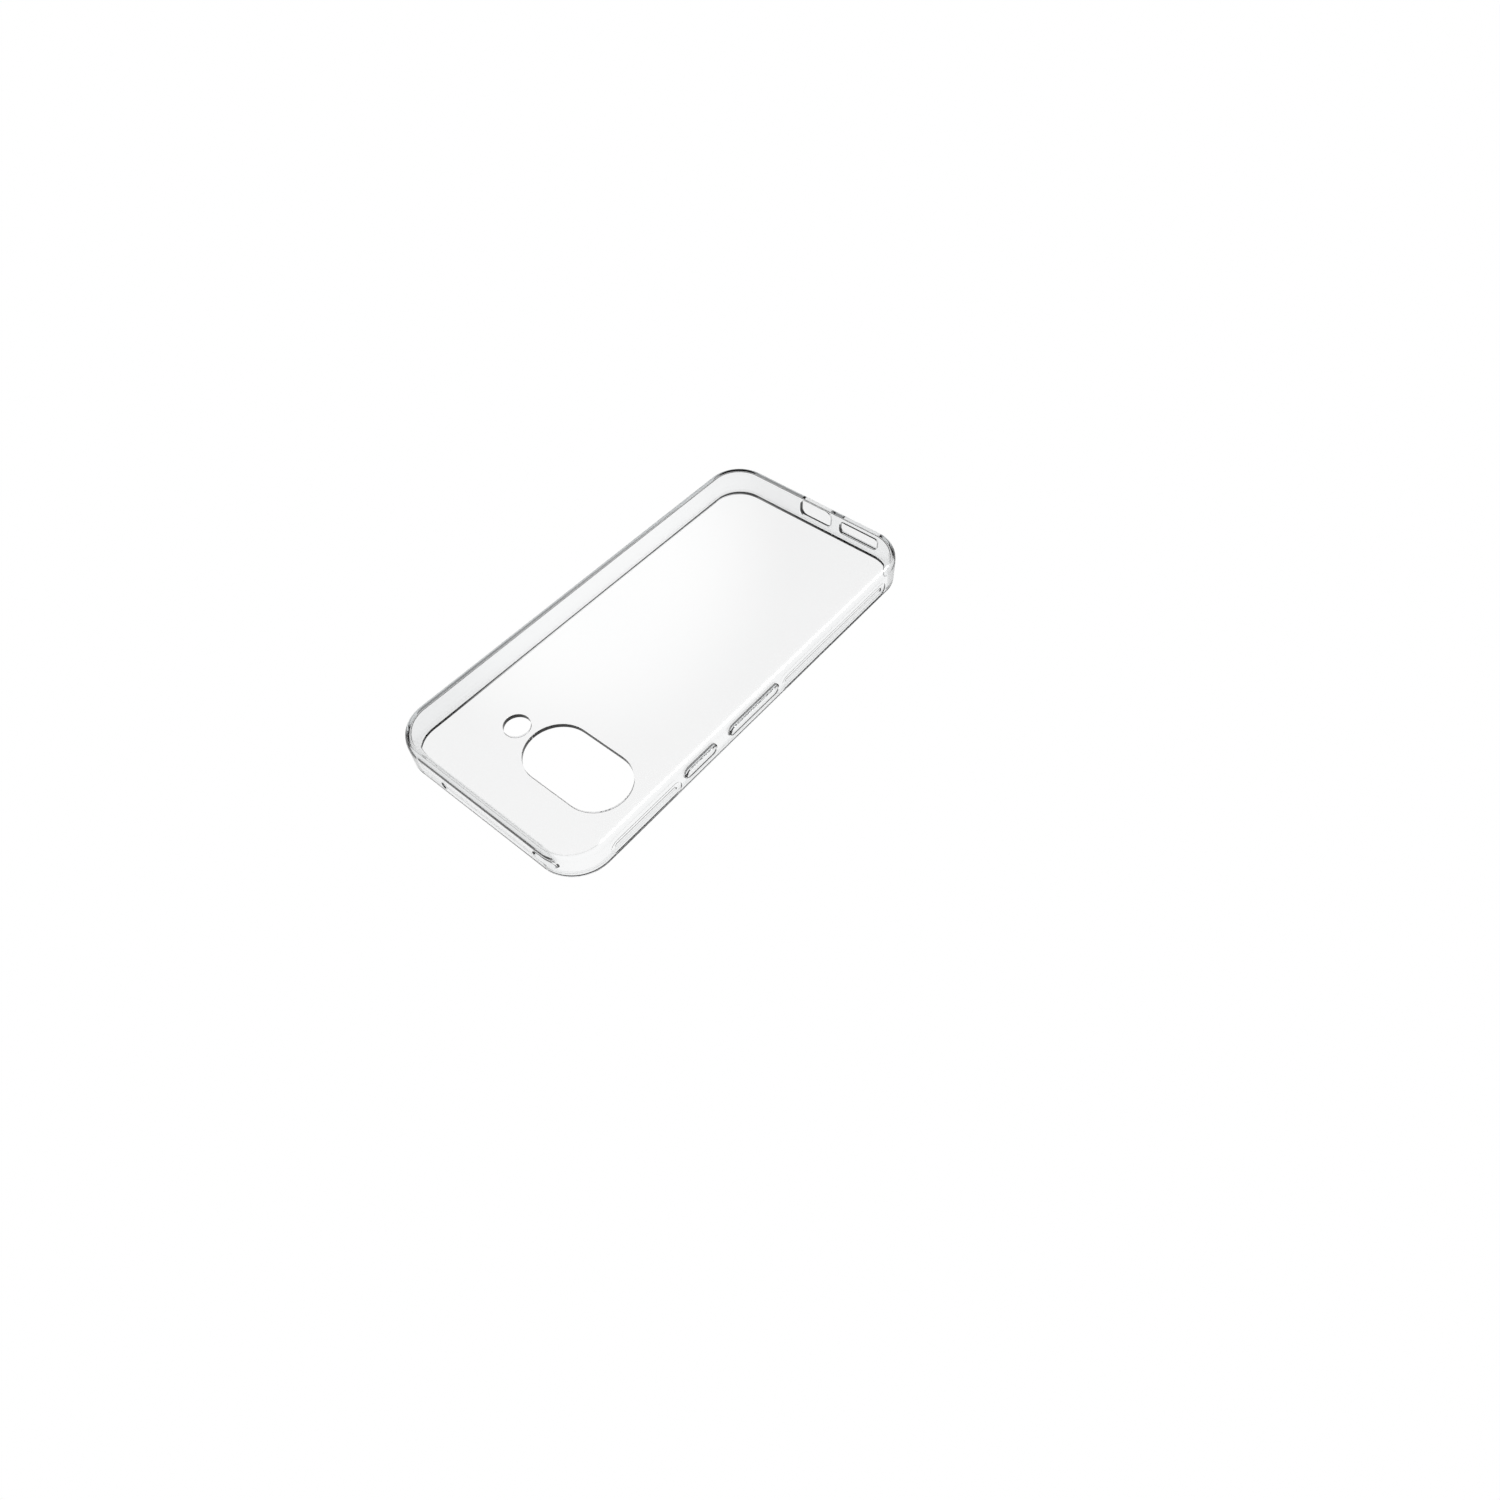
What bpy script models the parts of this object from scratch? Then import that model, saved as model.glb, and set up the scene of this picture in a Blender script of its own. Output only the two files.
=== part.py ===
"""Clear phone case: a soft side frame, a clear back panel and two flexing button pads.

The case lies with its screen side down on z = 0 and its back panel up. +Y is the camera end,
-Y is the charging end, and the buttons are on the -X side. Metres throughout.
"""
import math

import bmesh
import bpy

MM = 0.001

# The phone that the case fits, and how the case wraps it
PHONE_WIDTH = 73.3 * MM
PHONE_LENGTH = 154.7 * MM
PHONE_THICKNESS = 8.9 * MM
PHONE_CLEARANCE = 0.05 * MM        # on each side of the phone
WALL = 1.5 * MM                    # side wall
PANEL_THICKNESS = 1.5 * MM         # clear back panel
LIP_HEIGHT = 1.2 * MM              # screen lip: how far it stands past the phone's glass
LIP_OVERHANG = 1.1 * MM            # how far the lip reaches in over the glass
CORNER_RADIUS = 12.5 * MM          # outer corner, seen from the back
BACK_FILLET = 2.5 * MM             # rounding from the side wall to the back
RIM_FILLET = 0.8 * MM              # rounding of the screen-side rim
LIP_FILLET = 0.4 * MM              # rounding of the lip's inner edge
POCKET_FILLET = 0.8 * MM           # hollow rounding where the wall meets the lip

# Joint between the frame and the back panel
SEAM_INSET = 0.8 * MM              # frame web left outside the panel's edge
SEAT_STEP = 0.5 * MM               # the panel's rim is this much thinner, and sits on the frame
FIT_GAP = 0.3 * MM                 # between the panel and the frame

# Camera and flash openings, in the back panel; their X is from the case's middle
CAMERA_X = -15.2 * MM
CAMERA_FROM_END = 25.5 * MM        # opening's centre to the camera end of the case
CAMERA_LENGTH = 36.0 * MM
CAMERA_HEIGHT = 20.6 * MM
FLASH_X = 9.1 * MM
FLASH_FROM_END = 25.0 * MM
FLASH_DIAMETER = 8.1 * MM
OPENING_CHAMFER = 0.25 * MM        # broken edge of every opening in the panel

# Openings in the end walls; X is from the case's middle, and heights are above the rim
PORT_WIDTH = 13.0 * MM
PORT_HEIGHT = 6.6 * MM
PORT_CORNER = 2.2 * MM
PORT_X = 0.2 * MM
PORT_Z = 5.1 * MM
SPEAKER_WIDTH = 15.6 * MM
SPEAKER_HEIGHT = 4.5 * MM
SPEAKER_CORNER = 1.4 * MM
SPEAKER_X = -18.0 * MM
SPEAKER_Z = 4.8 * MM
MIC_WIDTH = 8.0 * MM
MIC_HEIGHT = 3.0 * MM
MIC_X = -26.3 * MM
MIC_Z = 5.4 * MM

# Button pads, on the -X wall, and their travel is along X
BUTTON_Z = 5.5 * MM
BUTTON_HEIGHT = 3.8 * MM
BUTTON_PROUD = 0.5 * MM            # how far the pads stand out of the wall
BUTTON_EDGE = 0.4 * MM             # rounding of a pad's outer edge
BUTTON_GAP = 0.3 * MM              # slot around a pad
POWER_LENGTH = 13.4 * MM
POWER_FROM_END = 51.4 * MM         # pad's centre to the camera end of the case
VOLUME_LENGTH = 22.8 * MM
VOLUME_FROM_POWER = 24.2 * MM      # power pad's centre to the volume pad's centre

# Shallow grip grooves in the outer walls
GROOVE_DEPTH = 0.35 * MM
SIDE_GROOVE_HEIGHT = 5.15 * MM
SIDE_GROOVE_Z = 3.525 * MM
SIDE_GROOVE_SLOPE = 1.25 * MM      # how wide a groove's sloping side is
END_GROOVE_HEIGHT = 3.65 * MM
END_GROOVE_Z = 3.825 * MM
END_GROOVE_SLOPE = 0.35 * MM
GROOVE_CORNER_GAP = 1.5 * MM       # a groove stops this short of a corner's curve
GROOVE_BUTTON_GAP = 1.6 * MM       # and this short of a button's slot
GROOVE_MIC_GAP = 1.0 * MM
END_GROOVE_START = 16.0 * MM       # the end groove's +X end, from the case's middle

CORNER_STEPS = 14                  # segments of each corner's curve
FILLET_STEPS = 6

# Sizes that follow from the ones above
WIDTH = PHONE_WIDTH + 2 * (PHONE_CLEARANCE + WALL)
LENGTH = PHONE_LENGTH + 2 * (PHONE_CLEARANCE + WALL)
HEIGHT = LIP_HEIGHT + PHONE_THICKNESS + PANEL_THICKNESS
FLOOR_Z = HEIGHT - PANEL_THICKNESS
CENTRE_X = BUTTON_PROUD / 2        # keeps the box, pads included, centred on x = 0
OUTER_X = CENTRE_X - WIDTH / 2     # outer face of the button wall
CAMERA_END = LENGTH / 2
CHARGE_END = -LENGTH / 2
POWER_Y = CAMERA_END - POWER_FROM_END
VOLUME_Y = POWER_Y - VOLUME_FROM_POWER


def clear_scene():
    for existing in list(bpy.data.objects):
        bpy.data.objects.remove(existing, do_unlink=True)


def clear_material(name, color, roughness, alpha):
    """A clear plastic, shown here as a see-through tint."""
    material = bpy.data.materials.new(name)
    material.use_nodes = True
    shader = material.node_tree.nodes["Principled BSDF"]
    shader.inputs["Base Color"].default_value = (*color, 1.0)
    shader.inputs["Roughness"].default_value = roughness
    shader.inputs["Metallic"].default_value = 0.0
    shader.inputs["Alpha"].default_value = alpha
    return material


def arc(centre, radius, start_degrees, end_degrees, steps):
    """Points (a, b) along an arc, both ends included."""
    points = []
    for i in range(steps + 1):
        angle = math.radians(start_degrees + (end_degrees - start_degrees) * i / steps)
        points.append((centre[0] + radius * math.cos(angle), centre[1] + radius * math.sin(angle)))
    return points


def corner_stations():
    """Corner centres and outward directions, anticlockwise around the case."""
    reach_x = WIDTH / 2 - CORNER_RADIUS
    reach_y = LENGTH / 2 - CORNER_RADIUS
    stations = []
    for quarter, (sx, sy) in enumerate([(1, 1), (-1, 1), (-1, -1), (1, -1)]):
        for direction in arc((0, 0), 1, 90 * quarter, 90 * quarter + 90, CORNER_STEPS):
            stations.append(((CENTRE_X + sx * reach_x, sy * reach_y), direction))
    return stations


def case_loop(inset, z):
    """The case's outline, moved inwards by inset, at height z."""
    return [(cx + dx * (CORNER_RADIUS - inset), cy + dy * (CORNER_RADIUS - inset), z)
            for (cx, cy), (dx, dy) in corner_stations()]


def loft(name, loops, closed_tube=False, parent=None):
    """A solid through loops of equal length: capped at both ends, or closed on itself."""
    shape = bmesh.new()
    rings = [[shape.verts.new(point) for point in loop] for loop in loops]
    count = len(rings[0])
    pairs = list(zip(rings, rings[1:]))
    if closed_tube:
        pairs.append((rings[-1], rings[0]))
    else:
        shape.faces.new(rings[0])
        shape.faces.new(rings[-1])
    for low, high in pairs:
        for i in range(count):
            j = (i + 1) % count
            shape.faces.new([low[i], low[j], high[j], high[i]])
    bmesh.ops.recalc_face_normals(shape, faces=shape.faces)
    mesh = bpy.data.meshes.new(name)
    shape.to_mesh(mesh)
    shape.free()
    piece = bpy.data.objects.new(name, mesh)
    bpy.context.scene.collection.objects.link(piece)
    piece.parent = parent
    return piece


def finish_piece(piece, material):
    piece.data.materials.append(material)
    piece.data.shade_smooth()
    piece.data.set_sharp_from_angle(angle=math.radians(35))


def rounded_outline(half_a, half_b, radius, steps=8):
    """A rounded rectangle, anticlockwise, as (a, b) points about its own centre."""
    points = []
    for quarter, (sa, sb) in enumerate([(1, 1), (-1, 1), (-1, -1), (1, -1)]):
        centre = (sa * (half_a - radius), sb * (half_b - radius))
        run = arc(centre, radius, 90 * quarter, 90 * quarter + 90, steps)
        if points and math.dist(points[-1], run[0]) < 1e-7:
            run = run[1:]
        points += run
    if math.dist(points[-1], points[0]) < 1e-7:
        points.pop()
    return points


def prism(name, outline_at, levels, place):
    """Loft an outline through levels of (grow, depth); place(a, b, depth) gives x, y, z."""
    loops = [[place(a, b, depth) for a, b in outline_at(grow)] for grow, depth in levels]
    return loft(name, loops)


def cut(piece, cutter):
    cutter.hide_render = True
    cutter.hide_viewport = False
    cutter.display_type = "WIRE"
    modifier = piece.modifiers.new("cut " + cutter.name, "BOOLEAN")
    modifier.operation = "DIFFERENCE"
    modifier.solver = "EXACT"
    modifier.object = cutter


def on_side_wall(y, z):
    """Place an outline on the button wall: a runs along Y, b along Z, depth goes into the wall."""
    return lambda a, b, depth: (OUTER_X + depth, y + a, z + b)


def on_end_wall(x, z, outer, outward):
    """Place an outline on an end wall: a runs along X, b along Z, depth goes into the wall."""
    return lambda a, b, depth: (CENTRE_X + x + a, outer - outward * depth, z + b)


def on_back(x, y):
    """Place an outline on the back: a runs along X, b along Y, depth goes down from the back."""
    return lambda a, b, depth: (CENTRE_X + x + a, y + b, HEIGHT - depth)


def slot_outline(length, height, corner):
    """An outline that can grow evenly by a given amount all round."""
    return lambda grow: rounded_outline(length / 2 + grow, height / 2 + grow, corner + grow)


def frame_profile():
    """The frame's section as (inset, z), from the outer wall over the rim to the seam."""
    lip_reach = WALL + LIP_OVERHANG
    lip_top = LIP_HEIGHT
    web_z = HEIGHT - BACK_FILLET + math.sqrt(BACK_FILLET ** 2 - (BACK_FILLET - SEAM_INSET) ** 2)
    seam_angle = math.degrees(math.acos((BACK_FILLET - SEAM_INSET) / BACK_FILLET))
    ledge_z = FLOOR_Z + SEAT_STEP - FIT_GAP
    profile = arc((BACK_FILLET, HEIGHT - BACK_FILLET), BACK_FILLET, 180 - seam_angle, 180, FILLET_STEPS)
    profile[0] = (SEAM_INSET, web_z)
    profile += arc((RIM_FILLET, RIM_FILLET), RIM_FILLET, 180, 270, FILLET_STEPS - 1)
    profile += arc((lip_reach - LIP_FILLET, LIP_FILLET), LIP_FILLET, 270, 360, FILLET_STEPS - 2)
    profile.append((lip_reach, lip_top))
    profile += arc((WALL + POCKET_FILLET, lip_top + POCKET_FILLET), POCKET_FILLET, 270, 180, FILLET_STEPS - 2)
    profile.append((WALL, ledge_z))
    profile.append((SEAM_INSET, ledge_z))
    return profile


def make_frame(material):
    """Soft frame: the side walls, the screen lip and the seat for the back panel."""
    frame = loft("bumper_frame", [case_loop(inset, z) for inset, z in frame_profile()], closed_tube=True)

    through = [(0, -2 * WALL), (0, 2 * WALL + LIP_OVERHANG)]
    cutters = [
        prism("port_cutter", slot_outline(PORT_WIDTH, PORT_HEIGHT, PORT_CORNER), through,
              on_end_wall(PORT_X, PORT_Z, CHARGE_END, -1)),
        prism("speaker_cutter", slot_outline(SPEAKER_WIDTH, SPEAKER_HEIGHT, SPEAKER_CORNER), through,
              on_end_wall(SPEAKER_X, SPEAKER_Z, CHARGE_END, -1)),
        prism("mic_cutter", slot_outline(MIC_WIDTH, MIC_HEIGHT, MIC_HEIGHT / 2), through,
              on_end_wall(MIC_X, MIC_Z, CAMERA_END, 1)),
    ]
    for name, y, length in button_list():
        window = slot_outline(length + 2 * BUTTON_GAP, BUTTON_HEIGHT + 2 * BUTTON_GAP,
                              BUTTON_HEIGHT / 2 + BUTTON_GAP)
        cutters.append(prism(name + "_window", window, through, on_side_wall(y, BUTTON_Z)))
    cutters += groove_cutters()
    for cutter in cutters:
        cut(frame, cutter)
    finish_piece(frame, material)
    return frame


def groove_levels(slope):
    """A groove whose outline is given at the wall's face, with sides that slope in to its floor."""
    return [(slope, -GROOVE_DEPTH), (-slope, GROOVE_DEPTH)]


def groove_cutters():
    """Shallow grooves between the corners, the buttons and the microphone hole."""
    corner_y = LENGTH / 2 - CORNER_RADIUS - GROOVE_CORNER_GAP
    button_reach = BUTTON_GAP + GROOVE_BUTTON_GAP
    side_runs = [
        ("upper_side_groove", POWER_Y + POWER_LENGTH / 2 + button_reach, corner_y),
        ("lower_side_groove", -corner_y, VOLUME_Y - VOLUME_LENGTH / 2 - button_reach),
    ]
    cutters = []
    for name, low, high in side_runs:
        outline = slot_outline(high - low, SIDE_GROOVE_HEIGHT, SIDE_GROOVE_HEIGHT / 2)
        cutters.append(prism(name, outline, groove_levels(SIDE_GROOVE_SLOPE),
                             on_side_wall((low + high) / 2, SIDE_GROOVE_Z)))
    low = MIC_X + MIC_WIDTH / 2 + GROOVE_MIC_GAP
    outline = slot_outline(END_GROOVE_START - low, END_GROOVE_HEIGHT, END_GROOVE_HEIGHT / 2)
    cutters.append(prism("end_groove", outline, groove_levels(END_GROOVE_SLOPE),
                         on_end_wall((low + END_GROOVE_START) / 2, END_GROOVE_Z, CAMERA_END, 1)))
    return cutters


def make_back_panel(material):
    """Clear back panel: it drops into the frame's seat and carries the rest of the back rounding."""
    edge = SEAM_INSET + FIT_GAP
    edge_angle = math.degrees(math.acos((BACK_FILLET - edge) / BACK_FILLET))
    plug = WALL + FIT_GAP
    levels = [(plug, FLOOR_Z), (plug, FLOOR_Z + SEAT_STEP), (edge, FLOOR_Z + SEAT_STEP)]
    levels += arc((BACK_FILLET, HEIGHT - BACK_FILLET), BACK_FILLET, 180 - edge_angle, 90, FILLET_STEPS)
    panel = loft("back_panel", [case_loop(inset, z) for inset, z in levels])

    chamfer = OPENING_CHAMFER
    deep = PANEL_THICKNESS
    hole_levels = [(2 * chamfer, -chamfer), (0, chamfer), (0, deep - chamfer), (2 * chamfer, deep + chamfer)]
    openings = [
        ("camera_cutter", CAMERA_X, CAMERA_END - CAMERA_FROM_END,
         slot_outline(CAMERA_LENGTH, CAMERA_HEIGHT, CAMERA_HEIGHT / 2)),
        ("flash_cutter", FLASH_X, CAMERA_END - FLASH_FROM_END,
         slot_outline(FLASH_DIAMETER, FLASH_DIAMETER, FLASH_DIAMETER / 2)),
    ]
    for name, x, y, outline in openings:
        cut(panel, prism(name, outline, hole_levels, on_back(x, y)))
    finish_piece(panel, material)
    return panel


def button_list():
    return [("power_button", POWER_Y, POWER_LENGTH), ("volume_button", VOLUME_Y, VOLUME_LENGTH)]


def make_button(name, y, length, material):
    """A flexing pad in the wall: its origin is on its press axis, at the wall's outer face."""
    outline = slot_outline(length, BUTTON_HEIGHT, BUTTON_HEIGHT / 2)
    levels = [(0, WALL)]
    for grow, depth in arc((-BUTTON_EDGE, BUTTON_EDGE - BUTTON_PROUD), BUTTON_EDGE, 0, -90, FILLET_STEPS - 2):
        levels.append((grow, depth))
    pad = prism(name, outline, levels, lambda a, b, depth: (depth, a, b))
    pad.location = (OUTER_X, y, BUTTON_Z)
    finish_piece(pad, material)
    return pad


def main():
    clear_scene()
    frame_material = clear_material("soft_clear", (0.93, 0.94, 0.95), 0.08, 0.35)
    panel_material = clear_material("hard_clear", (0.95, 0.96, 0.96), 0.04, 0.3)
    button_material = clear_material("button_clear", (0.92, 0.93, 0.94), 0.1, 0.4)
    make_frame(frame_material)
    make_back_panel(panel_material)
    for name, y, length in button_list():
        make_button(name, y, length, button_material)


main()
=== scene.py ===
"""Looks for the clear phone case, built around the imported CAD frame. Metres throughout."""
import math

import bmesh
import bpy
from mathutils import Matrix, Vector


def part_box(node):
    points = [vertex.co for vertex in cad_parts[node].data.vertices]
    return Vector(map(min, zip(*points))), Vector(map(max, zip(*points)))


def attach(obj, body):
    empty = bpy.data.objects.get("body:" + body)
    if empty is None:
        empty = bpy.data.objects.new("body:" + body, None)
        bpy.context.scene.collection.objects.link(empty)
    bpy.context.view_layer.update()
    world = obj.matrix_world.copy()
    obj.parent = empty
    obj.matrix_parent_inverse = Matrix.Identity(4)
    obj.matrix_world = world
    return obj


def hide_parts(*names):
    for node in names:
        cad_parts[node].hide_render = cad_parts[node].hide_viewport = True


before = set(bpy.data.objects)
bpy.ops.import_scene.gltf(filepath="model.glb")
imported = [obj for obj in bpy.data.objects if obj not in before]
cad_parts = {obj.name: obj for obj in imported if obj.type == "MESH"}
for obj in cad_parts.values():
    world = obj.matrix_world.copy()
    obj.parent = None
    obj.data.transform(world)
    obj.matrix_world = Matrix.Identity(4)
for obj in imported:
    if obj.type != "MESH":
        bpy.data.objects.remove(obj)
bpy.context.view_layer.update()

MM = 0.001

# Sizes that the CAD's boxes give
FRAME_LOW, FRAME_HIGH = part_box("bumper_frame")
CENTRE_X = (FRAME_LOW.x + FRAME_HIGH.x) / 2
WIDTH = FRAME_HIGH.x - FRAME_LOW.x
LENGTH = FRAME_HIGH.y - FRAME_LOW.y
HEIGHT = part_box("back_panel")[1].z
FLOOR_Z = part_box("back_panel")[0].z
OUTER_X = FRAME_LOW.x              # the button wall's outer face
PANEL_THICKNESS = HEIGHT - FLOOR_Z

# Sizes repeated from the CAD
WALL = 1.5 * MM
LIP_HEIGHT = 1.2 * MM
LIP_OVERHANG = 1.1 * MM
CORNER_RADIUS = 12.5 * MM
RIM_FILLET = 0.8 * MM
SEAM_INSET = 0.8 * MM
CAMERA = (-15.2 * MM, 25.5 * MM, 36.0 * MM, 20.6 * MM)   # x, from the end, length, height
FLASH = (9.1 * MM, 25.0 * MM, 8.1 * MM, 8.1 * MM)
PORT = (0.2 * MM, 5.1 * MM, 13.0 * MM, 6.6 * MM, 2.2 * MM)   # x, z, width, height, corner
SPEAKER = (-18.0 * MM, 4.8 * MM, 15.6 * MM, 4.5 * MM, 1.4 * MM)
MIC = (-26.3 * MM, 5.4 * MM, 8.0 * MM, 3.0 * MM, 1.5 * MM)
BUTTON_GAP = 0.3 * MM
BUTTON_PROUD = 0.5 * MM
END_GROOVE = (3.825 * MM, 3.65 * MM, 0.35 * MM)    # z, height, width of its sloping sides
GROOVE_DEPTH = 0.35 * MM
GROOVE_CORNER_GAP = 1.5 * MM
GROOVE_BUTTON_GAP = 1.6 * MM
GROOVE_MIC_GAP = 1.0 * MM
END_GROOVE_START = 16.0 * MM

# Shapes that are this script's own, inside the CAD's box
SHOULDER = (3.0 * MM, 4.4 * MM)    # rounding from the wall to the back: reach inwards, and down
SHOULDER_POWER = 2.8               # 2 is an ellipse; more is fuller
SEAM_TURN = math.acos((1 - SEAM_INSET / SHOULDER[0]) ** (SHOULDER_POWER / 2))
TONGUE_TURN = math.radians(1)      # how far the panel's tongue reaches round into the frame
TONGUE_MARGIN = 0.015              # share of the wall left at each face of the tongue
LIP_FILLET = 0.3 * MM
LIP_NOSE = 0.5 * MM
POCKET_FILLET = 0.6 * MM
SIDE_GROOVE = (3.725 * MM, 5.75 * MM, 1.85 * MM)   # z, height, width of its sides
SIDE_GROOVE_DEPTH = 0.75 * MM
SHELF_DEPTH = 0.3 * MM             # depth of the shelf round a side groove
SHELF_FALL = 0.03 * MM             # how much deeper the shelf gets over its width
STEP = 0.12 * MM                   # depth of the end groove's first step, and a cutter's reach outside
SOFT_EDGE = 0.2 * MM               # rounding on the edges of the end openings
PANEL_EDGE = 0.15 * MM             # and of the openings in the panel
WINDOW_EDGE = 0.1 * MM             # and of the button windows
PAD_EDGE = 0.42 * MM               # rounding of a pad's outer edge
PAD_FOOT = 0.1 * MM                # bevel round a pad's inner face
PAD_DOME = 0.06 * MM
DOME_REACH = 1.1 * MM              # how far in from its edge a pad's dome rises
BOND = 0.06 * MM                   # how far a moulded-in web reaches into the wall
WEB_SLIDE = 0.02 * MM              # between a pad and its web
WEB_DEPTH = 0.65 * MM              # a button web's outer face, below the wall's face
WEB_THICKNESS = 0.35 * MM
WEB_DIP = 0.08 * MM

# Plastic
PLASTIC_IOR = 1.5
HAZE_COLOUR = (0.55, 0.6, 0.62, 1)

# Segments
CORNER_STEPS = 40
FILLET_STEPS = 12
SHOULDER_STEPS = 18
DOME_STEPS = 3
SAME_POINT = 1e-7                  # metres

# Camera, floor and light
EYE = Vector((-0.16138, 0.14658, 0.23993))
AIM = Vector((-0.04651, 0.01584, 0.0058))
LENS = 24.23                       # millimetres, on a sensor 36 mm wide
ROLL = math.radians(-2.4776)
FLOOR_REACH = 3.0
FLOOR_LEVEL = -0.1 * MM
FLOOR_LOSS = (0.4, 3.2)            # reflections inside the plastic over which the floor's glow is lost
SOFT_LIGHTS = [                    # azimuth, elevation, full within, gone beyond (degrees), strength
    (-37, 41, 3, 12, 1.05),
    (-150, 16, 10, 24, 12.0),
]
BOUNCES = 10
INDIRECT_LIMIT = 1.0               # brightest indirect sample, so that the rim gets no white specks


def arc(centre, radius, start_degrees, end_degrees, steps):
    """Points (a, b) along an arc, both ends included."""
    points = []
    for i in range(steps + 1):
        angle = math.radians(start_degrees + (end_degrees - start_degrees) * i / steps)
        points.append((centre[0] + radius * math.cos(angle), centre[1] + radius * math.sin(angle)))
    return points


def corner_stations():
    """Corner centres and outward directions, anticlockwise around the case."""
    reach_x = WIDTH / 2 - CORNER_RADIUS
    reach_y = LENGTH / 2 - CORNER_RADIUS
    stations = []
    for quarter, (sx, sy) in enumerate([(1, 1), (-1, 1), (-1, -1), (1, -1)]):
        for direction in arc((0, 0), 1, 90 * quarter, 90 * quarter + 90, CORNER_STEPS):
            stations.append(((CENTRE_X + sx * reach_x, sy * reach_y), direction))
    return stations


def case_loop(inset, z):
    """The case's outline, moved inwards by inset, at height z."""
    return [(cx + dx * (CORNER_RADIUS - inset), cy + dy * (CORNER_RADIUS - inset), z)
            for (cx, cy), (dx, dy) in corner_stations()]


def loft(name, loops, closed_tube=False):
    """A solid through loops of equal length: capped at both ends, or closed on itself."""
    shape = bmesh.new()
    rings = [[shape.verts.new(point) for point in loop] for loop in loops]
    count = len(rings[0])
    pairs = list(zip(rings, rings[1:]))
    if closed_tube:
        pairs.append((rings[-1], rings[0]))
    else:
        shape.faces.new(rings[0])
        shape.faces.new(rings[-1])
    for low, high in pairs:
        for i in range(count):
            j = (i + 1) % count
            shape.faces.new([low[i], low[j], high[j], high[i]])
    bmesh.ops.recalc_face_normals(shape, faces=shape.faces)
    mesh = bpy.data.meshes.new(name)
    shape.to_mesh(mesh)
    shape.free()
    piece = bpy.data.objects.new(name, mesh)
    bpy.context.scene.collection.objects.link(piece)
    return piece


def outline(length, height, corner, grow, steps=14):
    """A rounded rectangle grown by grow, anticlockwise, as (a, b) points about its own centre."""
    half_a, half_b, radius = length / 2 + grow, height / 2 + grow, corner + grow
    points = []
    for quarter, (sa, sb) in enumerate([(1, 1), (-1, 1), (-1, -1), (1, -1)]):
        centre = (sa * (half_a - radius), sb * (half_b - radius))
        run = arc(centre, radius, 90 * quarter, 90 * quarter + 90, steps)
        if points and math.dist(points[-1], run[0]) < SAME_POINT:
            run = run[1:]
        points += run
    if math.dist(points[-1], points[0]) < SAME_POINT:
        points.pop()
    return points


def prism(name, size, levels, place, closed_tube=False):
    """Loft a (length, height, corner) outline through levels of (grow, depth)."""
    loops = [[place(a, b, depth) for a, b in outline(*size, grow)] for grow, depth in levels]
    return loft(name, loops, closed_tube)


def on_side_wall(y, z):
    return lambda a, b, depth: (OUTER_X + depth, y + a, z + b)


def on_end_wall(x, z, outward):
    return lambda a, b, depth: (CENTRE_X + x + a, outward * (LENGTH / 2 - depth), z + b)


def on_back(x, y):
    return lambda a, b, depth: (CENTRE_X + x + a, y + b, HEIGHT - depth)


def through_levels(thickness, over=2 * MM, soft=SOFT_EDGE, steps=4):
    """Levels of a hole through a wall: flared at both faces, so that its edges come out rounded."""
    levels = [(soft, -over)]
    for grow, depth in arc((soft, soft), soft, 270, 180, steps):
        levels.append((grow, depth))
    for grow, depth in arc((soft, thickness - soft), soft, 180, 90, steps):
        levels.append((grow, depth))
    levels.append((soft, thickness + over))
    return levels


def groove_levels(slope):
    """Levels of a shallow groove: two slopes, or where its sides are wide two steps with a shelf."""
    if slope > GROOVE_DEPTH:
        return [(0, -STEP), (0, SHELF_DEPTH), (-slope, SHELF_DEPTH + SHELF_FALL), (-slope, SIDE_GROOVE_DEPTH)]
    return [(STEP, -STEP), (-STEP, STEP), (-GROOVE_DEPTH, GROOVE_DEPTH)]


def cut_all(piece, cutters):
    """Cut every cutter from the piece, keep the result as its mesh, and remove the cutters."""
    for cutter in cutters:
        modifier = piece.modifiers.new(cutter.name, "BOOLEAN")
        modifier.operation = "DIFFERENCE"
        modifier.solver = "EXACT"
        modifier.object = cutter
    bake(piece)
    for cutter in cutters:
        bpy.data.objects.remove(cutter, do_unlink=True)


def bake(piece):
    """Apply every modifier."""
    graph = bpy.context.evaluated_depsgraph_get()
    mesh = bpy.data.meshes.new_from_object(piece.evaluated_get(graph), depsgraph=graph)
    mesh.name = piece.name
    old = piece.data
    piece.modifiers.clear()
    piece.data = mesh
    bpy.data.meshes.remove(old)


def smooth(piece, angle=35):
    """Smooth shading with face-weighted normals, so that flat walls stay flat beside their fillets."""
    piece.data.shade_smooth()
    piece.data.set_sharp_from_angle(angle=math.radians(angle))
    modifier = piece.modifiers.new("weighted", "WEIGHTED_NORMAL")
    modifier.mode = "FACE_AREA_WITH_ANGLE"
    modifier.keep_sharp = True
    modifier.weight = 100
    bake(piece)


# ---------------------------------------------------------------- pieces

def shoulder(turn, inward=0.0):
    """A point (inset, z) on the rounding from the wall (turn 0) to the back (turn 90 degrees); inward is
    0 on the outer surface and 1 on the inner one."""
    reach, drop = SHOULDER[0] - inward * WALL, SHOULDER[1] - inward * PANEL_THICKNESS
    power = 2 / SHOULDER_POWER
    return (SHOULDER[0] - reach * max(math.cos(turn), 0) ** power,
            HEIGHT - SHOULDER[1] + drop * math.sin(turn) ** power)


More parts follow.
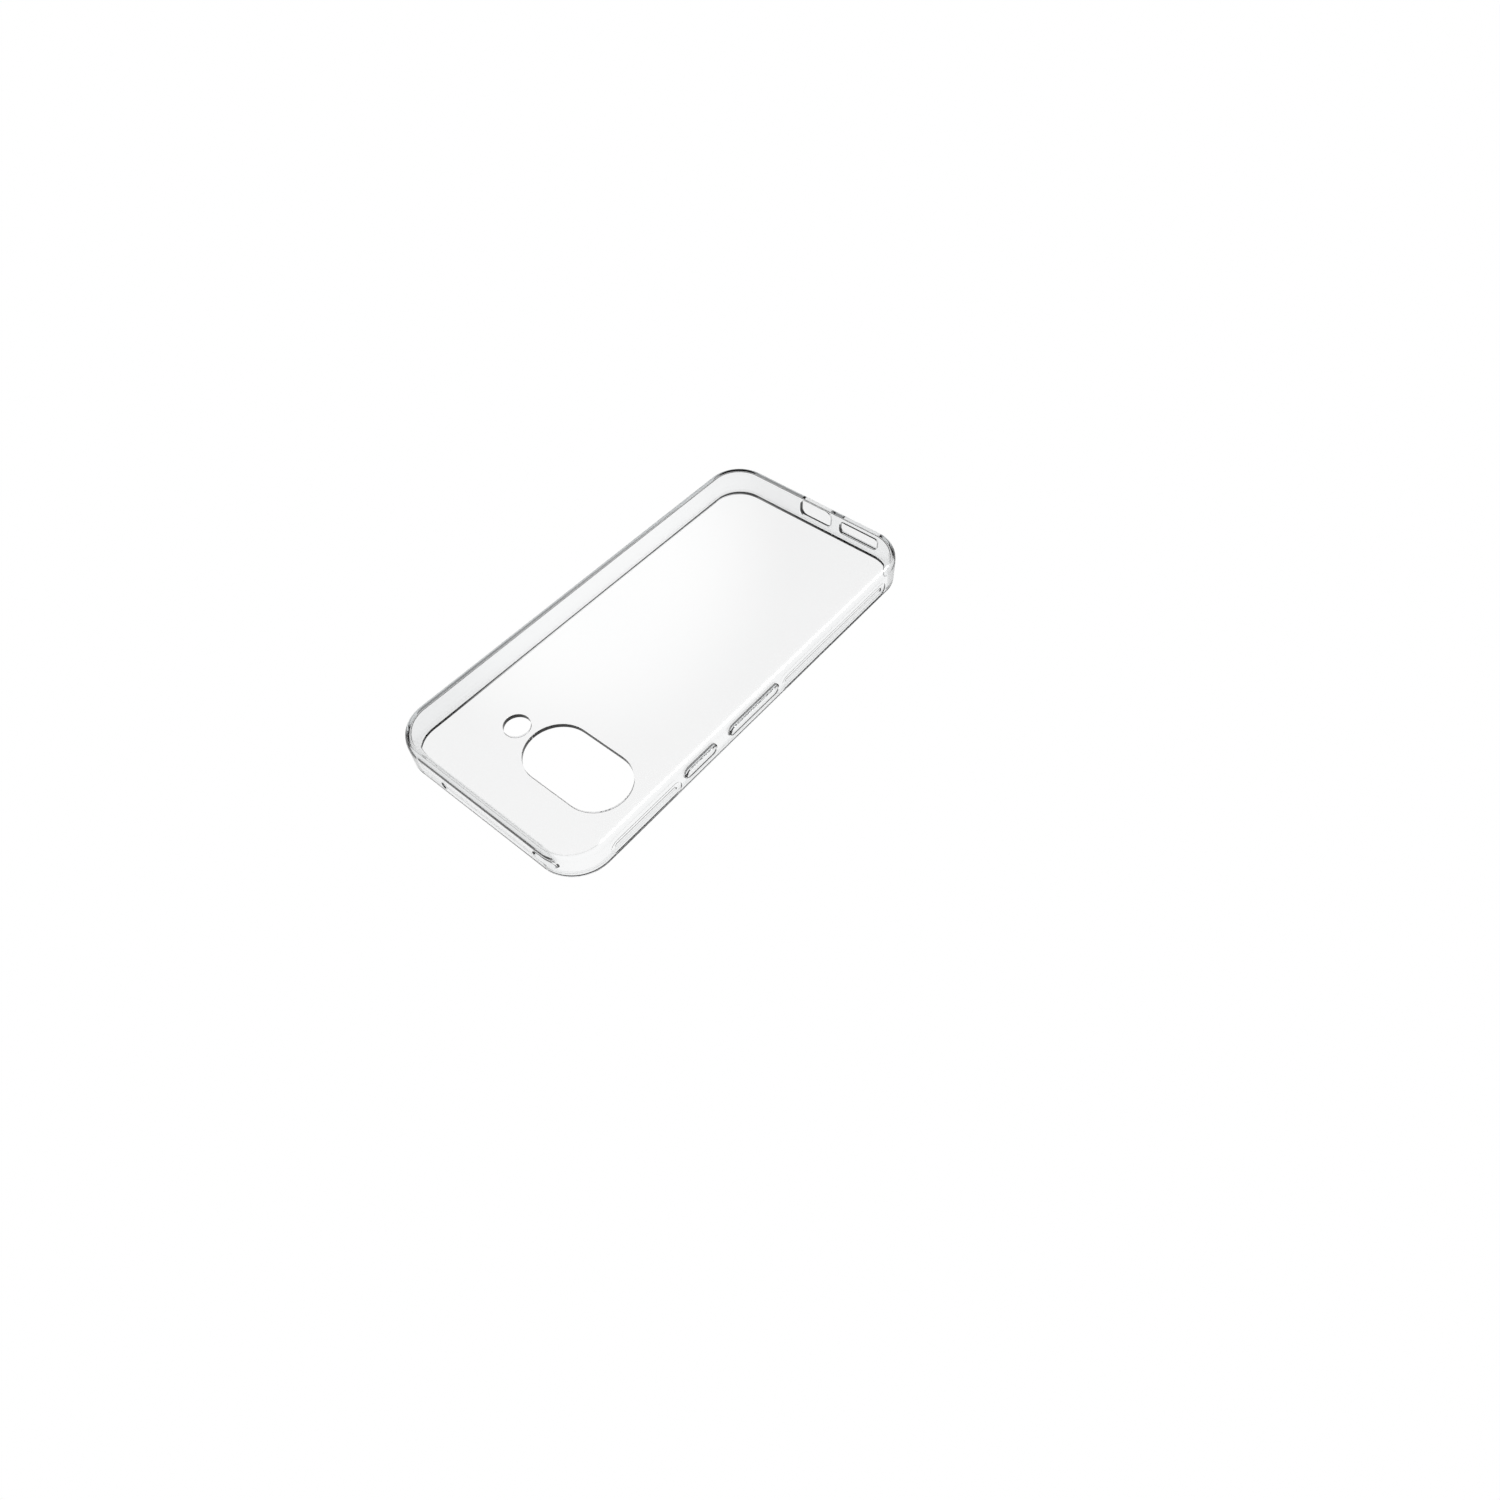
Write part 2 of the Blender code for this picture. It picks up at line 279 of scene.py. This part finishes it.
def shoulder_run(first, last, inward=0.0, steps=SHOULDER_STEPS):
    return [shoulder(first + (last - first) * i / steps, inward) for i in range(steps + 1)]


def frame_profile():
    """The frame's section as (inset, z), from the seam over the outer wall and rim to the inner shoulder."""
    reach = WALL + LIP_OVERHANG
    profile = shoulder_run(SEAM_TURN, 0)
    profile += arc((RIM_FILLET, RIM_FILLET), RIM_FILLET, 180, 270, FILLET_STEPS)
    profile += arc((reach - LIP_FILLET, LIP_FILLET), LIP_FILLET, 270, 360, FILLET_STEPS - 4)
    profile += arc((reach - LIP_NOSE, LIP_HEIGHT - LIP_NOSE), LIP_NOSE, 0, 90, FILLET_STEPS - 2)
    profile += arc((WALL + POCKET_FILLET, LIP_HEIGHT + POCKET_FILLET), POCKET_FILLET, 270, 180,
                   FILLET_STEPS - 4)[1:]
    profile += shoulder_run(0, SEAM_TURN, 1.0)
    return profile


def wall_groove(name, low, high, height, slope, place):
    return prism(name, (high - low, height, height / 2), groove_levels(slope), place)


def pad_size(node):
    """A pad's (length, height, corner) and its middle (y, z), from its CAD box."""
    low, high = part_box(node)
    height = high.z - low.z
    return (high.y - low.y, height, height / 2), ((low.y + high.y) / 2, (low.z + high.z) / 2)


def make_frame():
    piece = loft("soft_frame", [case_loop(inset, z) for inset, z in frame_profile()], closed_tube=True)
    cutters = []
    for name, (x, z, width, height, corner), outward in [("port", PORT, -1), ("speaker", SPEAKER, -1),
                                                         ("mic", MIC, 1)]:
        cutters.append(prism(name, (width, height, corner), through_levels(WALL), on_end_wall(x, z, outward)))
    for name in ("power_button", "volume_button"):
        (length, height, corner), middle = pad_size(name)
        size = (length + 2 * BUTTON_GAP, height + 2 * BUTTON_GAP, corner + BUTTON_GAP)
        levels = through_levels(WALL, soft=WINDOW_EDGE)
        cutters.append(prism(name + "_hole", size, levels, on_side_wall(*middle)))
    reach = BUTTON_GAP + GROOVE_BUTTON_GAP
    corner_y = LENGTH / 2 - CORNER_RADIUS - GROOVE_CORNER_GAP
    for name, low, high in [("upper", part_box("power_button")[1].y + reach, corner_y),
                            ("lower", -corner_y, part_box("volume_button")[0].y - reach)]:
        place = on_side_wall((low + high) / 2, SIDE_GROOVE[0])
        cutters.append(wall_groove(name, low, high, *SIDE_GROOVE[1:], place))
    low = MIC[0] + MIC[2] / 2 + GROOVE_MIC_GAP
    place = on_end_wall((low + END_GROOVE_START) / 2, END_GROOVE[0], 1)
    cutters.append(wall_groove("end", low, END_GROOVE_START, *END_GROOVE[1:], place))
    cut_all(piece, cutters)
    smooth(piece)
    return piece


def make_panel():
    """The back panel, with a thin tongue all round that sits in the frame's end."""
    tucked = SEAM_TURN - TONGUE_TURN
    levels = shoulder_run(math.pi / 2, SEAM_TURN, 1.0)
    levels += [shoulder(SEAM_TURN, 1 - TONGUE_MARGIN), shoulder(tucked, 1 - TONGUE_MARGIN),
               shoulder(tucked, TONGUE_MARGIN), shoulder(SEAM_TURN, TONGUE_MARGIN)]
    levels += shoulder_run(SEAM_TURN, math.pi / 2)
    piece = loft("clear_back", [case_loop(inset, z) for inset, z in levels])
    cutters = []
    for name, (x, from_end, length, height) in [("camera", CAMERA), ("flash", FLASH)]:
        levels = through_levels(PANEL_THICKNESS, soft=PANEL_EDGE)
        place = on_back(x, LENGTH / 2 - from_end)
        cutters.append(prism(name, (length, height, height / 2), levels, place))
    cut_all(piece, cutters)
    smooth(piece)
    return piece


def make_pad(name, node):
    """A button pad with a full round edge and a slightly domed face."""
    size, middle = pad_size(node)
    levels = [(-PAD_FOOT, WALL), (0, WALL - PAD_FOOT)]
    levels += arc((-PAD_EDGE, PAD_EDGE - BUTTON_PROUD + PAD_DOME), PAD_EDGE, 0, -80, 9)
    for i in range(1, DOME_STEPS + 1):
        t = i / DOME_STEPS
        levels.append((-PAD_EDGE - t * DOME_REACH, -BUTTON_PROUD + PAD_DOME * (1 - t) ** 2))
    piece = prism(name, size, levels, on_side_wall(*middle))
    smooth(piece, 50)
    return piece


def make_web(name, node):
    """The thin web around a pad, moulded into the wall; the pad slides past its inner edge."""
    size, middle = pad_size(node)
    outer = BUTTON_GAP + BOND
    halfway = BUTTON_GAP / 2
    top, bottom = WEB_DEPTH, WEB_DEPTH + WEB_THICKNESS
    levels = [(outer, top), (halfway, top + WEB_DIP), (WEB_SLIDE, top), (WEB_SLIDE, bottom),
              (halfway, bottom + WEB_DIP), (outer, bottom)]
    piece = prism(name, size, levels, on_side_wall(*middle), closed_tube=True)
    smooth(piece, 50)
    return piece


# ---------------------------------------------------------------- materials

def ranged(tree, source, low, high):
    """A noise's middle part, from 0.3 to 0.7, spread from low to high."""
    made = tree.nodes.new("ShaderNodeMapRange")
    made.inputs["From Min"].default_value = 0.3
    made.inputs["From Max"].default_value = 0.7
    made.inputs["To Min"].default_value = low
    made.inputs["To Max"].default_value = high
    tree.links.new(source, made.inputs["Value"])
    return made.outputs["Result"]


def clear_plastic(name, tint, rough, flow_size, flow_depth, grain_size, grain_depth, density):
    """Clear moulded plastic: slow flow waves, a fine grain, and absorption where light travels far in it."""
    material = bpy.data.materials.new(name)
    material.use_nodes = True
    tree = material.node_tree
    shader = tree.nodes["Principled BSDF"]
    output = tree.nodes["Material Output"]
    shader.inputs["IOR"].default_value = PLASTIC_IOR
    shader.inputs["Transmission Weight"].default_value = 1.0
    place = tree.nodes.new("ShaderNodeTexCoord").outputs["Object"]

    def noise(size, detail, distortion=0.0):
        made = tree.nodes.new("ShaderNodeTexNoise")
        made.inputs["Scale"].default_value = 1 / size
        made.inputs["Detail"].default_value = detail
        made.inputs["Distortion"].default_value = distortion
        tree.links.new(place, made.inputs["Vector"])
        return made.outputs["Fac"]

    flow = noise(flow_size, 2, 0.4)
    grain = noise(grain_size, 4)
    clouds = noise(3 * flow_size, 3)
    mix = tree.nodes.new("ShaderNodeMix")
    mix.data_type = "RGBA"
    mix.inputs["A"].default_value = (*tint, 1)
    mix.inputs["B"].default_value = (1, 1, 1, 1)
    tree.links.new(ranged(tree, clouds, 0, 1), mix.inputs["Factor"])
    tree.links.new(mix.outputs["Result"], shader.inputs["Base Color"])
    tree.links.new(ranged(tree, grain, 0.0, rough), shader.inputs["Roughness"])
    waves = tree.nodes.new("ShaderNodeBump")
    waves.inputs["Distance"].default_value = flow_depth
    tree.links.new(flow, waves.inputs["Height"])
    fine = tree.nodes.new("ShaderNodeBump")
    fine.inputs["Distance"].default_value = grain_depth
    tree.links.new(grain, fine.inputs["Height"])
    tree.links.new(waves.outputs["Normal"], fine.inputs["Normal"])
    tree.links.new(fine.outputs["Normal"], shader.inputs["Normal"])
    haze = tree.nodes.new("ShaderNodeVolumeAbsorption")
    haze.inputs["Color"].default_value = HAZE_COLOUR
    haze.inputs["Density"].default_value = density
    tree.links.new(haze.outputs["Volume"], output.inputs["Volume"])
    return material


soft_clear = clear_plastic("soft_clear", tint=(0.985, 0.988, 0.99), rough=0.01, flow_size=9 * MM,
                           flow_depth=0.003 * MM, grain_size=0.5 * MM, grain_depth=0.0001 * MM, density=50)
hard_clear = clear_plastic("hard_clear", tint=(0.99, 0.992, 0.993), rough=0.006, flow_size=14 * MM,
                           flow_depth=0.002 * MM, grain_size=0.8 * MM, grain_depth=0.00005 * MM, density=10)
button_clear = clear_plastic("button_clear", tint=(0.98, 0.985, 0.988), rough=0.02, flow_size=3 * MM,
                             flow_depth=0.004 * MM, grain_size=0.4 * MM, grain_depth=0.0002 * MM, density=50)

for piece, material, slot, body, replaced in [
        (make_frame(), soft_clear, "soft_clear", "case", "bumper_frame"),
        (make_panel(), hard_clear, "hard_clear", "case", "back_panel"),
        (make_pad("power_pad", "power_button"), button_clear, "button_clear", "power_key",
         "power_button"),
        (make_pad("volume_pad", "volume_button"), button_clear, "button_clear", "volume_key",
         "volume_button"),
        (make_web("power_web", "power_button"), soft_clear, "soft_clear", "case", None),
        (make_web("volume_web", "volume_button"), soft_clear, "soft_clear", "case", None)]:
    piece.data.materials.clear()
    piece.data.materials.append(material)
    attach(piece, body)
    if replaced:
        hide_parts(replaced)


# ---------------------------------------------------------------- camera, floor and light

def make_camera():
    data = bpy.data.cameras.new("camera")
    data.lens = LENS
    data.sensor_width = 36.0
    camera = bpy.data.objects.new("camera", data)
    bpy.context.scene.collection.objects.link(camera)
    turn = (AIM - EYE).to_track_quat("-Z", "Y").to_matrix().to_4x4()
    camera.matrix_world = Matrix.Translation(EYE) @ turn @ Matrix.Rotation(ROLL, 4, "Z")
    bpy.context.scene.camera = camera


def make_floor():
    """A pale floor that glows evenly, less so for light that was reflected inside the plastic."""
    mesh = bpy.data.meshes.new("floor")
    corners = [(sx * FLOOR_REACH, sy * FLOOR_REACH, FLOOR_LEVEL)
               for sx, sy in [(-1, -1), (1, -1), (1, 1), (-1, 1)]]
    mesh.from_pydata(corners, [], [(0, 1, 2, 3)])
    piece = bpy.data.objects.new("floor", mesh)
    bpy.context.scene.collection.objects.link(piece)
    material = bpy.data.materials.new("floor")
    material.use_nodes = True
    tree = material.node_tree
    tree.nodes.clear()
    output = tree.nodes.new("ShaderNodeOutputMaterial")
    glow = tree.nodes.new("ShaderNodeEmission")
    glow.inputs["Color"].default_value = (1, 1, 1, 1)
    inside = tree.nodes.new("ShaderNodeLightPath").outputs["Glossy Depth"]
    loss = tree.nodes.new("ShaderNodeMapRange")
    loss.interpolation_type = "SMOOTHSTEP"
    tree.links.new(inside, loss.inputs["Value"])
    loss.inputs["From Min"].default_value = FLOOR_LOSS[0]
    loss.inputs["From Max"].default_value = FLOOR_LOSS[1]
    loss.inputs["To Min"].default_value = 1.0
    loss.inputs["To Max"].default_value = 0.0
    tree.links.new(loss.outputs[0], glow.inputs["Strength"])
    tree.links.new(glow.outputs[0], output.inputs[0])
    mesh.materials.append(material)


def direction(azimuth, elevation):
    a, e = math.radians(azimuth), math.radians(elevation)
    return Vector((math.cos(a) * math.cos(e), math.sin(a) * math.cos(e), math.sin(e)))


def make_world():
    """A dark room with two soft lights, which the camera itself sees as a pale background."""
    world = bpy.data.worlds.new("studio")
    bpy.context.scene.world = world
    world.use_nodes = True
    tree = world.node_tree
    background = tree.nodes["Background"]
    ray = tree.nodes.new("ShaderNodeTexCoord").outputs["Generated"]

    def soft_light(toward, inner, outer, strength):
        dot = tree.nodes.new("ShaderNodeVectorMath")
        dot.operation = "DOT_PRODUCT"
        tree.links.new(ray, dot.inputs[0])
        dot.inputs[1].default_value = toward
        spread = tree.nodes.new("ShaderNodeMapRange")
        spread.interpolation_type = "SMOOTHSTEP"
        tree.links.new(dot.outputs["Value"], spread.inputs["Value"])
        spread.inputs["From Min"].default_value = math.cos(math.radians(outer))
        spread.inputs["From Max"].default_value = math.cos(math.radians(inner))
        spread.inputs["To Max"].default_value = strength
        return spread.outputs[0]

    total = None
    for azimuth, elevation, inner, outer, strength in SOFT_LIGHTS:
        light = soft_light(direction(azimuth, elevation), inner, outer, strength)
        if total is None:
            total = light
        else:
            add = tree.nodes.new("ShaderNodeMath")
            tree.links.new(total, add.inputs[0])
            tree.links.new(light, add.inputs[1])
            total = add.outputs[0]
    seen = tree.nodes.new("ShaderNodeLightPath").outputs["Is Camera Ray"]
    pale = tree.nodes.new("ShaderNodeMix")
    pale.data_type = "FLOAT"
    tree.links.new(seen, pale.inputs[0])
    tree.links.new(total, pale.inputs[2])
    pale.inputs[3].default_value = 1.0
    tree.links.new(pale.outputs[0], background.inputs["Strength"])
    background.inputs["Color"].default_value = (1, 1, 1, 1)


make_camera()
make_floor()
make_world()
scene = bpy.context.scene
scene.view_settings.view_transform = "Standard"
scene.cycles.max_bounces = BOUNCES
scene.cycles.transmission_bounces = BOUNCES
scene.cycles.glossy_bounces = BOUNCES
scene.cycles.sample_clamp_indirect = INDIRECT_LIMIT
